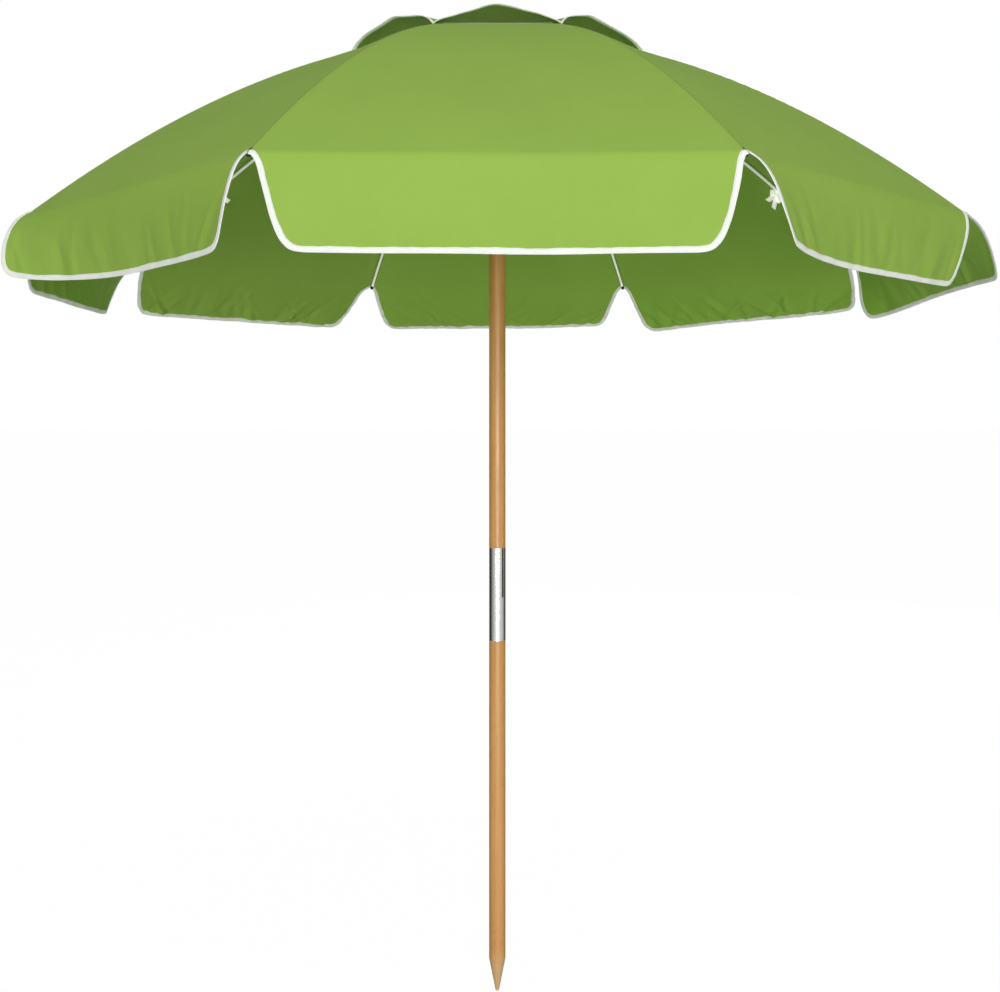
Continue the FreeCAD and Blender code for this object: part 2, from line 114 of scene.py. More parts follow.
# Valance: depth from the crease to the hem, and its outline as (inset from the rib's line, depth)
HEM_DEPTH = 0.161
NOTCH = ((0.0, 0.0085), (0.0042, 0.0098), (0.0080, 0.0155), (0.0115, 0.0260), (0.0165, 0.050),
         (0.0235, 0.080), (0.031, 0.110), (0.042, 0.138), (0.054, 0.153), (0.066, 0.159), (0.082, HEM_DEPTH))
NOTCH_STEPS = 5
HEM_STEP = 0.005
# How each valance hangs. Angles are in degrees from straight down, lengths in metres. start is the angle at
# which it leaves the crease beside each rib; bend is how far down it goes on turning, and flare its mean
# angle, each at the -v end, the middle and the +v end; sway is how far each end hangs off to the +v side.
Hang = namedtuple("Hang", "start bend flare sway")
HANGS = {
    1: Hang((82, 50), (0.070, 0.037, 0.016), (33, 40, 2), (-0.012, 0.006)),
    2: Hang((72, 57), (0.041, 0.032, 0.031), (46, 40, 24), (0.002, 0.006)),
    3: Hang((54, 48), (0.030, 0.030, 0.030), (46, 42, 38), (0.006, 0.008)),
    4: Hang((72, 64), (0.040, 0.031, 0.040), (38, 38, 36), (0.008, 0.010)),
    5: Hang((80, 54), (0.058, 0.034, 0.031), (36, 12, 8), (0.006, 0.000)),
    6: Hang((84, 48), (0.070, 0.028, 0.042), (39, 0, 14), (-0.012, 0.005)),
    7: Hang((47, 47), (0.014, 0.014, 0.014), (1, -1, -2), (0.004, 0.009)),
    8: Hang((66, 68), (0.058, 0.026, 0.028), (27, 3, -2), (-0.003, 0.003)),
}
START_LENGTH = 0.006
SEWN_DEPTH = 0.016
SWAY_LENGTH = 0.030
HANG_STEPS = 40
HEM_WAVE_HEIGHT = 0.0004
HEM_WAVE_REACH = 0.020
# Folds in each valance: how many, their least and greatest height, least and greatest half width, and how far
# they may slant
FOLDS = {1: (18, 0.002, 0.006, 0.007, 0.022, 0.12), 2: (32, 0.004, 0.0115, 0.005, 0.012, 0.28),
         3: (22, 0.004, 0.0110, 0.005, 0.013, 0.30), 4: (32, 0.004, 0.0110, 0.005, 0.013, 0.24),
         5: (18, 0.002, 0.006, 0.007, 0.022, 0.12), 6: (32, 0.0010, 0.0038, 0.006, 0.022, 0.06),
         7: (14, 0.0008, 0.0026, 0.008, 0.030, 0.10), 8: (30, 0.0010, 0.0038, 0.006, 0.022, 0.08)}
# The share of a fold's height that the hem's tape pulls flat
HEM_FLATTENS = 0.85

# White binding tape, sewn over the cloth's edges
TAPE_WIDTH = 0.0092
TAPE_HALF = 0.0010
GORE_TAPE_STEP = 0.03
VENT_TAPE_STEP = 0.025
TAPE_UNEVEN_WIDTH = 0.06
TAPE_UNEVEN_THICKNESS = 0.15
TAPE_SECTION = ((1.0, 0.45), (0.965, 0.9), (0.5, 1.0), (0.08, 1.0), (-0.05, 0.75), (-0.09, 0.0),
                (-0.05, -0.75), (0.08, -1.0), (0.5, -1.0), (0.965, -0.9), (1.0, -0.45))

# Seam tape under the cloth along each rib, and the tie that holds cloth and rib together
SEAM_TAPE_HALF = 0.008
SEAM_TAPE_THICKNESS = 0.0005
SEAM_TAPE_ROW = 0.012
OUTER_TAPE_DROP = 0.0013
INNER_TAPE_DROP = 0.0011
TIE_RADIUS = 0.77 * RIM_RADIUS
TIE_WIDTH = 0.0130
TIE_THICKNESS = 0.0006
TAIL_LENGTH = 0.038
BOW_GAP = 0.0009
KNOT_DROP = 0.0022
KNOT_LENGTH = 0.0026
KNOT_HEIGHT = 0.0030
KNOT_THICKNESS = 0.0016
KNOT_WIDTH = 0.0062
LOOP_REACH = 0.010
LOOP_OPEN = 0.0042

# Crown patch, a flat ring of cloth under the finial
PATCH_HOLE = 0.0205
PATCH_RADIUS = 0.046
PATCH_GAP = 0.0007
PATCH_OVER_VENT = 0.0011

# The pole's reduced ends inside the joint sleeve, where the wood is coloured with painted shade
SPIGOT_RADIUS = 0.0182
SLEEVE_BOTTOM = 0.8145
SLEEVE_TOP = 1.0305

# The studio's brightness by direction, for surfaces and for reflections: the brightest direction, the cosines
# from it where the light starts and is full, and its strength before and after
STUDIO_DIFFUSE = ((0, -1, 0), -0.25, 1.0, 0.15, 0.62)
STUDIO_GLOSS = ((0.22, -0.975, 0), -0.60, 1.0, 0.02, 0.72)
STUDIO_GLOSS_BEHIND = ((-0.22, 0.975, 0), 0.90, 1.0, 0.0, 0.80)
WHITE = (1, 1, 1)
FLOOR_GREY = (0.60, 0.60, 0.60)
FLOOR_SHADED = (0.05, 0.05, 0.05)
FLOOR_SHOWN = 0.975
FLOOR_SIZE = 300.0
CAMERA_PLACE = (0, -2.851, 1.316)
CAMERA_LENS = 44.06
CAMERA_SHIFT = (0.0027, -0.0712)
SENSOR_WIDTH = 36.0

# Two small dents near the sleeve's top, in front
SLEEVE_DENTS = (((0.0012, -0.0192, 1.0243), 0.0040), ((0.0004, -0.0192, 0.9993), 0.0045))
DENT_DEPTH = 0.0012


def azimuth(sector):
    return (sector - 1) * STEP


def place(sector, u, v, z):
    """World points for a sector's own coordinates."""
    angle = azimuth(sector)
    x = u * math.cos(angle) - v * math.sin(angle)
    y = u * math.sin(angle) + v * math.cos(angle)
    return np.stack(np.broadcast_arrays(x, y, z), axis=-1)


def canopy_height(radius):
    return RIM_HEIGHT + CROWN_RISE - CROWN_SLOPE * radius - CROWN_BEND * radius ** 2


def canopy_fall(radius):
    """Height lost per metre of radius, over a rib."""
    return CROWN_SLOPE + 2 * CROWN_BEND * radius


# The cloth's angle from straight down where it reaches the crease, in the middle of a sector
CREASE_ANGLE = math.atan2(COS_HALF, canopy_fall(RIM_RADIUS))


class Ripple:
    """Smooth, uneven waves over a surface: a fixed sum of sines, the same at each run."""

    def __init__(self, seed, count, shortest, longest):
        random = np.random.default_rng(seed)
        wavelength = random.uniform(shortest, longest, count)
        heading = random.uniform(0, 2 * math.pi, count)
        self.kx = 2 * math.pi / wavelength * np.cos(heading)
        self.ky = 2 * math.pi / wavelength * np.sin(heading)
        self.phase = random.uniform(0, 2 * math.pi, count)

    def at(self, x, y):
        x, y = np.broadcast_arrays(x, y)
        total = np.zeros(x.shape)
        for kx, ky, phase in zip(self.kx, self.ky, self.phase):
            total += np.sin(kx * x + ky * y + phase)
        return total / math.sqrt(len(self.phase))


def ripples(seed, count, shortest, longest):
    return {k: Ripple(seed + k, count, shortest, longest) for k in SECTORS}


GORE_WAVES = ripples(100, 7, 0.16, 0.45)
CREASE_WAVES = ripples(200, 4, 0.18, 0.40)
PUCKER_WAVES = ripples(300, 5, 0.06, 0.16)
HEM_WAVES = ripples(400, 5, 0.013, 0.034)
VENT_WAVES = ripples(500, 5, 0.05, 0.14)
TAPE_WAVES = ripples(600, 5, 0.03, 0.12)


def crease_offset(sector, v):
    """How far the crease line between gore and valance is from straight, up or down."""
    inside = 1 - np.clip(v / CREASE_HALF, -1, 1) ** 2
    return inside * (CREASE_WAVE_HEIGHT * CREASE_WAVES[sector].at(v, 0.0) - RIM_SAG)


def gore_surface(sector, radius, share):
    """Main canopy. share runs from -1 to 1 across the sector, from rib to rib."""
    share = np.clip(share, -1, 1)
    down = np.clip((radius - GORE_START) / (RIM_RADIUS - GORE_START), 0, 1)
    u = radius * COS_HALF
    v = share * radius * SIN_HALF
    seam_distance = (1 - np.abs(share)) * radius * SIN_HALF
    inside = 1 - share ** 2
    height = canopy_height(radius)
    height = height - GORE_SAG * np.sin(math.pi * down) * inside
    height = height + crease_offset(sector, v) * down ** 4
    height = height - SEAM_GROOVE * np.exp(-(seam_distance / SEAM_GROOVE_WIDTH) ** 2)
    settle = np.sin(math.pi * down) ** 0.7
    waves = GORE_WAVES[sector].at(u * GORE_WAVE_STRETCH, v)
    height = height + GORE_WAVE_HEIGHT * settle * inside * waves
    rise = 1 - np.exp(-seam_distance / PUCKER_START)
    near_seam = rise * np.exp(-seam_distance / PUCKER_REACH) * settle
    side = np.where(share > 0, 1.0, -1.0)
    uneven = 0.6 + 0.6 * np.sin(9.0 * radius / RIM_RADIUS + side + sector)
    beat = np.sin(2 * math.pi * radius / PUCKER_PITCH + 3 * PUCKER_WAVES[sector].at(radius, side))
    height = height + PUCKER_HEIGHT * near_seam * uneven * beat
    return place(sector, u, v, height)


def vent_lift(sector, radius, share):
    lift, peak, shoulder, hollow = VENT_LIFT[sector]
    up = np.clip((radius - VENT_START) / (VENT_END - VENT_START), 0, 1) ** VENT_POWER
    off_peak = np.where(share < peak, (peak - share) / (peak + 1), (share - peak) / (1 - peak))
    rounded = np.sqrt(off_peak ** 2 + PEAK_ROUND ** 2 * (1 - off_peak ** 2))
    tent = np.clip(1 - rounded, 0, 1) ** hollow
    arch = shoulder * (1 - off_peak ** SHOULDER_POWER) + (1 - shoulder) * tent
    return lift * up * arch


def vent_surface(sector, radius, share):
    """Upper roof, fixed to the ribs at its corners and lifted between them."""
    share = np.clip(share, -1, 1)
    u = radius * COS_HALF
    v = share * radius * SIN_HALF
    up = np.clip((radius - VENT_START) / (VENT_END - VENT_START), 0, 1)
    inside = 1 - share ** 2
    seam_distance = (1 - np.abs(share)) * radius * SIN_HALF
    height = canopy_height(radius) + VENT_RISE + vent_lift(sector, radius, share)
    height = height - VENT_GROOVE * np.exp(-(seam_distance / SEAM_GROOVE_WIDTH) ** 2)
    waves = VENT_WAVES[sector].at(u * VENT_WAVE_STRETCH, v)
    height = height + VENT_WAVE_HEIGHT * up ** 2 * inside * waves
    return place(sector, u, v, height)


class Folds:
    """Soft ridges and hollows that fan out down a valance from its crease."""

    def __init__(self, sector):
        count, low, high, narrow, wide, slant = FOLDS[sector]
        random = np.random.default_rng(700 + sector)
        slots = (np.arange(count) + random.uniform(0.15, 0.85, count)) / count
        self.hem = (2 * slots - 1) * CREASE_HALF * 0.86
        self.lean = random.uniform(-slant, slant, count) - 0.10 * (2 * slots - 1)
        self.height = random.uniform(low, high, count) * np.where(random.random(count) < 0.5, 1, -1)
        self.width = random.uniform(narrow, wide, count)
        self.start = random.uniform(0.0, 0.45, count)

    def at(self, v, depth):
        down = depth / HEM_DEPTH
        total = np.zeros(np.broadcast(v, depth).shape)
        for hem, lean, height, width, start in zip(self.hem, self.lean, self.height, self.width, self.start):
            middle = hem - lean * (1 - down)
            spread = width * (0.55 + 0.45 * down)
            grow = np.clip((down - start) / (1 - start), 0, None) ** 1.3
            offset = (v - middle) / spread
            total = total + height * grow * np.exp(-0.5 * offset ** 2)
        return total * (1 - HEM_FLATTENS * np.clip(down, 0, 1) ** 10)


VALANCE_FOLDS = {k: Folds(k) for k in SECTORS}


def between_ends(values, share, power):
    """A number for each place across a sector, from its values at the -v end, the middle and the +v end."""
    low, middle, high = values
    return middle + np.where(share < 0, low - middle, high - middle) * np.abs(share) ** power


def valance_surface(sector, v, depth):
    """Hanging strip: it leaves the crease along the gore's slope, then bends over to hang."""
    v, depth = np.broadcast_arrays(np.asarray(v, float), np.asarray(depth, float))
    hung = HANGS[sector]
    share = np.clip(v / CREASE_HALF, -1, 1)
    bend = between_ends(hung.bend, share, 2)
    flare = np.radians(between_ends(hung.flare, share, 2))
    start = np.radians(between_ends((hung.start[0], math.degrees(CREASE_ANGLE), hung.start[1]), share, 4))
    top_share = bend / HEM_DEPTH * (1 - np.exp(-HEM_DEPTH / bend))
    hang = (flare - top_share * start) / (1 - top_share)

    def angle_at(down):
        ease = (start - CREASE_ANGLE) * np.exp(-down / START_LENGTH)
        return hang + (start - hang) * np.exp(-down / bend) - ease

    u = np.full(v.shape, CREASE_U)
    z = RIM_HEIGHT + crease_offset(sector, v)
    for step in range(HANG_STEPS):
        angle = angle_at(depth * (step + 0.5) / HANG_STEPS)
        u = u + np.sin(angle) * depth / HANG_STEPS
        z = z - np.cos(angle) * depth / HANG_STEPS
    angle = angle_at(depth)
    sewn = np.exp(-(depth / SEWN_DEPTH) ** 2)
    sway = np.interp(share, (-1, 1), hung.sway) * (1 - np.exp(-depth / SWAY_LENGTH))
    across = v * (1 + (u / CREASE_U - 1) * sewn) + sway
    down = np.clip(depth / HEM_DEPTH, 0, 1.05)
    puff = VALANCE_FOLDS[sector].at(v, np.clip(depth, 0, None))
    hem_pull = np.exp(-(HEM_DEPTH - np.clip(depth, 0, HEM_DEPTH)) / HEM_WAVE_REACH) * down
    puff = puff + HEM_WAVE_HEIGHT * hem_pull * HEM_WAVES[sector].at(v, 0.0)
    return place(sector, u + puff * np.cos(angle), across, z + puff * np.sin(angle))


def flat_surface(sector, v, depth):
    """The cloth as one flat chart: valance below the crease, gore above it, where depth is negative."""
    v, depth = np.broadcast_arrays(np.asarray(v, float), np.asarray(depth, float))
    below = valance_surface(sector, v, np.maximum(depth, 0))
    radius = RIM_RADIUS + np.minimum(depth, 0) * math.sin(CREASE_ANGLE) / COS_HALF
    above = gore_surface(sector, radius, v / (radius * SIN_HALF))
    return np.where((depth < 0)[..., None], above, below)


def smooth_curve(points, steps):
    """Catmull-Rom curve through the points."""
    points = np.array(points, float)
    padded = np.vstack([2 * points[0] - points[1], points, 2 * points[-1] - points[-2]])
    found = []
    for i in range(len(points) - 1):
        a, b, c, d = padded[i:i + 4]
        for step in range(steps):
            t = step / steps
            found.append(0.5 * (2 * b + (c - a) * t + (2 * a - 5 * b + 4 * c - d) * t ** 2
                                + (3 * b - a - 3 * c + d) * t ** 3))
    found.append(points[-1])
    return np.array(found)


NOTCH_CURVE = smooth_curve(NOTCH, NOTCH_STEPS)


def cross_shares():
    """Places across a sector, close together near the seams."""
    edge = [1 - x / CREASE_HALF for x in SEAM_COLUMNS]
    count = int(round(2 * edge[-1] * CREASE_HALF / CLOTH_COLUMN))
    middle = np.linspace(-edge[-1], edge[-1], count + 1)
    return np.concatenate([-np.array(edge[:-1]), middle, np.array(edge[:-1])[::-1]])


def finish_mesh(mesh, faces, uvs, material):
    """UV maps from per-vertex values, smooth shading and one material."""
    corners = np.concatenate([np.array(face) for face in faces])
    for name, values in uvs.items():
        layer = mesh.uv_layers.new(name=name)
        layer.data.foreach_set("uv", np.asarray(values, float).reshape(-1, 2)[corners].ravel())
    mesh.polygons.foreach_set("use_smooth", [True] * len(mesh.polygons))
    mesh.materials.append(material)
    mesh.update()


def add_object(name, points, faces, uvs, material):
    mesh = bpy.data.meshes.new(name)
    mesh.from_pydata(np.asarray(points).reshape(-1, 3).tolist(), [], [list(map(int, face)) for face in faces])
    finish_mesh(mesh, faces, uvs, material)
    made = bpy.data.objects.new(name, mesh)
    bpy.context.scene.collection.objects.link(made)
    return made


def grid_faces(rows, columns, around=False, first=0):
    """Quads of a grid. With around, the last column joins the first."""
    index = first + np.arange(rows * columns).reshape(rows, columns)
    if around:
        index = np.hstack([index, index[:, :1]])
    quads = np.stack([index[:-1, :-1], index[1:, :-1], index[1:, 1:], index[:-1, 1:]], axis=-1)
    return quads.reshape(-1, 4)


def add_sheet(name, points, uvs, material):
    """Open sheet from a grid of points."""
    rows, columns = points.shape[:2]
    return add_object(name, points, list(grid_faces(rows, columns)), uvs, material)


def add_swept(name, strips, material):
    """Closed bands, one for each grid of rings, with flat ends. uvs are (across, along) in metres."""
    points, uvs, faces, first = [], [], [], 0
    for rings, uv in strips:
        rows, columns = rings.shape[:2]
        points.append(rings.reshape(-1, 3))
        uvs.append(uv.reshape(-1, 2))
        faces.extend(list(grid_faces(rows, columns, True, first)))
        faces.append(np.arange(columns)[::-1] + first)
        faces.append(np.arange(columns) + first + (rows - 1) * columns)
        first += rows * columns
    return add_object(name, np.vstack(points), faces, {"UVMap": np.vstack(uvs)}, material)


def length_along(points):
    steps = np.linalg.norm(np.diff(points, axis=0), axis=1)
    return np.concatenate([[0], np.cumsum(steps)])


def unit(vectors):
    return vectors / np.linalg.norm(vectors, axis=-1, keepdims=True)


def sector_uv(sector, across, along):
    """Cloth coordinates in metres, with a different place in the weave for each sector."""
    across, along = np.broadcast_arrays(across, along)
    return np.stack([across + 0.37 * sector, along + 0.73 * sector], axis=-1)


def gather(piece):
    """Gives the piece its own copy of its mesh."""
    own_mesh(piece)


# ---------------------------------------------------------------- materials


class Nodes:
    """A material's or a world's node tree, with short ways to add nodes."""

    def __init__(self, owner):
        owner.use_nodes = True
        self.owner = owner
        self.tree = owner.node_tree
        self.shader = self.tree.nodes.get("Principled BSDF")

    def feed(self, socket, value):
        """Sets a socket, or links it if the value is another node's socket."""
        if isinstance(value, bpy.types.NodeSocket):
            self.tree.links.new(value, socket)
        elif socket.type == "RGBA":
            socket.default_value = (*value, 1)
        else:
            socket.default_value = value

    def add(self, kind, inputs=(), **settings):
        """Adds a node. inputs has the names or numbers of its sockets, and what goes into each."""
        node = self.tree.nodes.new(kind)
        for name, value in settings.items():
            setattr(node, name, value)
        for name, value in dict(inputs).items():
            self.feed(node.inputs[name], value)
        return node

    def set(self, **values):
        for name, value in values.items():
            self.feed(self.shader.inputs[name.replace("_", " ")], value)

    def show(self, shader):
        output = self.tree.nodes.get("Material Output") or self.tree.nodes["World Output"]
        self.feed(output.inputs["Surface"], shader)

    def blend(self, share, first, second):
        return self.add("ShaderNodeMixShader", {0: share, 1: first, 2: second}).outputs[0]

    def place(self):
        return self.add("ShaderNodeTexCoord").outputs["Object"]

    def uv(self, name):
        return self.add("ShaderNodeUVMap", uv_map=name).outputs["UV"]

    def scaled(self, vector, scale):
        return self.add("ShaderNodeMapping", {"Vector": vector, "Scale": scale}).outputs["Vector"]

    def split(self, vector):
        return self.add("ShaderNodeSeparateXYZ", {0: vector}).outputs

    def math(self, operation, a, b=0.0):
        return self.add("ShaderNodeMath", {0: a, 1: b}, operation=operation).outputs[0]

    def plus(self, a, b):
        return self.math("ADD", a, b)

    def times(self, a, b):
        return self.math("MULTIPLY", a, b)

    def waves(self, distance, pitch):
        return self.math("SINE", self.times(distance, 2 * math.pi / pitch))

    def pole_distance(self, vector):
        x, y, _ = self.split(vector)
        return self.math("SQRT", self.plus(self.times(x, x), self.times(y, y)))

    def noise(self, vector, scale, detail=2.0, roughness=0.5):
        inputs = {"Vector": vector, "Scale": scale, "Detail": detail, "Roughness": roughness}
        return self.add("ShaderNodeTexNoise", inputs).outputs["Fac"]

    def remap(self, value, low, high, new_low=0.0, new_high=1.0, **settings):
        inputs = {"Value": value, "From Min": low, "From Max": high, "To Min": new_low, "To Max": new_high}
        return self.add("ShaderNodeMapRange", inputs, **settings).outputs["Result"]

    def ramp(self, value, stops):
        node = self.add("ShaderNodeValToRGB", {"Fac": value})
        elements = node.color_ramp.elements
        while len(elements) < len(stops):
            elements.new(0.5)
        for element, (position, colour) in zip(elements, stops):
            element.position = position
            element.color = (*colour, 1)
        return node.outputs["Color"]

    def mix(self, share, first, second):
        node = self.add("ShaderNodeMix", {"Factor": share}, data_type="RGBA")
        colours = [socket for socket in node.inputs if socket.type == "RGBA"]
        for socket, value in zip(colours, (first, second)):
            self.feed(socket, value)
        return [socket for socket in node.outputs if socket.type == "RGBA"][0]

    def bump(self, height, distance, strength=1.0, normal=None):
        node = self.add("ShaderNodeBump", {"Height": height, "Distance": distance, "Strength": strength})
        if normal is not None:
            self.feed(node.inputs["Normal"], normal)
        return node.outputs["Normal"]

    def let_through(self, share, colour):
        """Mixes in light that comes through thin cloth."""
        through = self.add("ShaderNodeBsdfTranslucent", {"Color": colour})
        self.show(self.blend(share, self.shader.outputs[0], through.outputs[0]))

    def dashes(self, across, along, at, half_width, pitch, filled):
        """1 on a row of stitches that runs along the cloth at one distance across it."""
        beside = self.math("ABSOLUTE", self.math("SUBTRACT", across, at))
        turn = self.math("FRACT", self.math("DIVIDE", along, pitch))
        return self.times(self.math("LESS_THAN", beside, half_width), self.math("LESS_THAN", turn, filled))

    def facing(self, way, direction, far, near, dim, bright):
        """Strength that grows from dim to bright as the unit vector way turns towards the direction."""
        along = self.add("ShaderNodeVectorMath", {0: way, 1: direction}, operation="DOT_PRODUCT")
        return self.remap(along.outputs["Value"], far, near, dim, bright, interpolation_type="SMOOTHSTEP")

    def mirrored_studio(self, way):
        """Strength of what shiny parts mirror: a broad glow in front and a narrow one behind."""
        return self.plus(self.facing(way, *STUDIO_GLOSS), self.facing(way, *STUDIO_GLOSS_BEHIND))


# Woven cloth: its greens, the pitch and height of its threads, and the height of its crumples
GREEN_DEEP = (0.330, 0.515, 0.082)
GREEN_PALE = (0.355, 0.545, 0.091)
GREEN_WORN = (0.385, 0.570, 0.112)
GREEN_BETWEEN_THREADS = (0.15, 0.25, 0.03)
# Painted shade: dark green laid within a few millimetres of a seam
GREEN_SEAM_SHADE = (0.09, 0.16, 0.02)
GREEN_THREAD = (0.42, 0.58, 0.15)
GREEN_LIT_THROUGH = (0.12, 0.50, 0.012)
THREAD_PITCH = 0.0011
THREAD_HEIGHT = 0.00009
SLUB_SCALE = (900, 160, 1)
CRUMPLE_HEIGHT = 0.0035

# Binding tape
TAPE_RIB_PITCH = 0.0009
TAPE_RELIEF = 0.00010
TAPE_THROUGH = 0.25
TAPE_SOILED = 0.35

# Wood: the grain from dark to light, its other tones, and the heights where the bare point ends
GRAIN_TONES = ((0.25, (0.50, 0.225, 0.060)), (0.50, (0.65, 0.318, 0.094)), (0.75, (0.75, 0.400, 0.135)))
WOOD_FIGURE = (0.73, 0.395, 0.138)
WOOD_BAND = (0.54, 0.240, 0.066)
WOOD_PORE = (0.26, 0.12, 0.04)
# Painted shade: near-black colour for the spigot inside the sleeve, so the slot shows as a dark line
WOOD_SHADE_IN_SLEEVE = (0.012, 0.010, 0.008)
WOOD_BARE = (0.66, 0.47, 0.24)
BARE_BELOW = 0.060
VARNISHED_ABOVE = 0.100
GRAIN_RELIEF = 0.00016

# Ribs: the rod's two tones and its specks, the cap, and the rod's glow, painted light that makes it brighter
# than the lamps light it
ROD_DULL = (0.91, 0.90, 0.84)
ROD_PALE = (0.96, 0.95, 0.91)
ROD_SPECK = (0.50, 0.46, 0.36)
CAP_BLACK = (0.012, 0.012, 0.012)
CAP_START = RIM_RADIUS - 0.0106
ROD_PAINTED_GLOW = 0.28


def new_material(name):
    return Nodes(bpy.data.materials.new(name))


def cloth_material(name, through, under):
    """Green woven polyester: thread bump, uneven dye, seam stitching and painted shade along the seams.

    through is the share of light that comes through, under the share of the colour that its lower side keeps;
    the rest of the lower side's colour is taken away as painted shade.
    """
    n = new_material(name)
    flat = n.uv("UVMap")
    seam = n.split(n.uv("Seam"))
    x, y, _ = n.split(flat)
    weave = n.times(n.waves(x, THREAD_PITCH), n.waves(y, THREAD_PITCH))
    slub = n.noise(n.scaled(flat, SLUB_SCALE), 1.0, 3)
    cloudy = n.noise(flat, 5.0, 3)
    fine = n.noise(flat, 55.0, 4, 0.6)
    tone = n.mix(n.remap(cloudy, 0.3, 0.7), GREEN_DEEP, GREEN_PALE)
    tone = n.mix(n.remap(fine, 0.3, 0.75, 0.0, 0.30), tone, GREEN_WORN)
    tone = n.mix(n.remap(weave, -1, 1, 0.12, 0.0), tone, GREEN_BETWEEN_THREADS)
    # Painted shade along the seam lines, strongest right at the seam
    tone = n.mix(n.remap(seam[0], 0.0004, 0.0030, 0.30, 0.0), tone, GREEN_SEAM_SHADE)
    stitches = n.dashes(seam[0], seam[1], at=0.0052, half_width=0.00035, pitch=0.0032, filled=0.68)
    tone = n.mix(stitches, tone, GREEN_THREAD)
    # Painted shade: the lower side is coloured darker by the share that under leaves out
    shaded_lower_side = n.add("ShaderNodeNewGeometry").outputs["Backfacing"]
    tone = n.mix(n.times(shaded_lower_side, 1 - under), tone, (0.0, 0.0, 0.0))
    height = n.plus(n.times(weave, 0.5), n.times(slub, 0.7))
    height = n.plus(height, n.times(stitches, 2.5))
    crumple = n.bump(n.noise(flat, 24.0, 3, 0.55), CRUMPLE_HEIGHT, 0.35)
    n.set(Base_Color=tone, Roughness=n.remap(fine, 0.2, 0.8, 0.62, 0.78), Specular_IOR_Level=0.20)
    n.set(Normal=n.bump(height, THREAD_HEIGHT, 0.6, crumple))
    n.set(Sheen_Weight=0.08, Sheen_Roughness=0.45, Sheen_Tint=(0.75, 0.9, 0.5))
    n.let_through(through, n.mix(0.85, tone, GREEN_LIT_THROUGH))
    return n.owner


def tape_material(name, colour, shade, stitch_lines, glow=0.0):
    """Ribbed cotton tape with rows of stitching. glow is painted light: an emission that makes the tape
    brighter than the lamps light it.
    """
    n = new_material(name)
    flat = n.uv("UVMap")
    across, along, _ = n.split(flat)
    rib = n.waves(along, TAPE_RIB_PITCH)
    fibre = n.noise(n.scaled(flat, (500, 120, 1)), 1.0, 3)
    soil = n.noise(flat, 14.0, 4, 0.6)
    tone = n.mix(n.remap(soil, 0.45, 0.8, 0.0, TAPE_SOILED), colour, shade)
    tone = n.mix(n.remap(rib, -1, 1, 0.10, 0.0), tone, tuple(0.55 * part for part in colour))
    height = n.plus(n.times(rib, 0.5), n.times(fibre, 0.6))
    for line in stitch_lines:
        stitches = n.dashes(across, along, at=line, half_width=0.00035, pitch=0.0030, filled=0.66)
        tone = n.mix(stitches, tone, tuple(0.75 * part for part in colour))
        height = n.math("SUBTRACT", height, n.times(stitches, 1.6))
    n.set(Base_Color=tone, Roughness=n.remap(fibre, 0.2, 0.8, 0.70, 0.88), Specular_IOR_Level=0.25)
    n.set(Normal=n.bump(height, TAPE_RELIEF, 0.7), Sheen_Weight=0.15)
    # Painted light: the tape glows by the given strength
    n.set(Emission_Color=(1.0, 1.0, 0.96), Emission_Strength=glow)
    n.let_through(TAPE_THROUGH, tone)
    return n.owner


def wood_material():
    """Varnished ash: long grain, darker pores, bare at the point, and painted shade on the spigot inside the
    steel sleeve so that the sleeve's slot shows dark.
    """
    n = new_material("wood_varnished")
    place = n.place()
    bend = n.noise(n.scaled(place, (14, 14, 1.1)), 1.0, 2)
    grain = n.noise(n.scaled(place, (110, 110, 2.6)), 1.0, 5, 0.62)
    figure = n.noise(n.scaled(place, (34, 34, 0.9)), 1.0, 3)
    pores = n.noise(n.scaled(place, (520, 520, 38)), 1.0, 2, 0.5)
    tone = n.ramp(grain, GRAIN_TONES)
    tone = n.mix(n.remap(figure, 0.35, 0.68, 0.0, 0.45), tone, WOOD_FIGURE)
    tone = n.mix(n.remap(bend, 0.35, 0.65, 0.0, 0.30), tone, WOOD_BAND)
    dark = n.remap(pores, 0.66, 0.74, 0.0, 0.75)
    tone = n.mix(dark, tone, WOOD_PORE)
    height = n.split(place)[2]
    # Painted shade: the wood inside the steel sleeve is coloured near black, so the slot in the sleeve shows
    # dark
    inside = n.math("LESS_THAN", n.pole_distance(place), SPIGOT_RADIUS)
    inside = n.times(inside, n.math("LESS_THAN", height, SLEEVE_TOP))
    inside = n.times(inside, n.math("GREATER_THAN", height, SLEEVE_BOTTOM))
    tone = n.mix(n.times(inside, 0.97), tone, WOOD_SHADE_IN_SLEEVE)
    bare = n.remap(height, BARE_BELOW, VARNISHED_ABOVE, 1.0, 0.0)
    tone = n.mix(n.times(bare, 0.6), tone, WOOD_BARE)
    scuffed = n.noise(n.scaled(place, (60, 60, 9)), 1.0, 4)
    rough = n.plus(n.remap(scuffed, 0.3, 0.75, 0.30, 0.46), n.times(bare, 0.25))
    relief = n.math("SUBTRACT", n.times(grain, 0.5), dark)
    n.set(Base_Color=tone, Roughness=rough, Normal=n.bump(relief, GRAIN_RELIEF, 0.6))
    n.set(Coat_Weight=0.15, Coat_Roughness=0.30)
    return n.owner


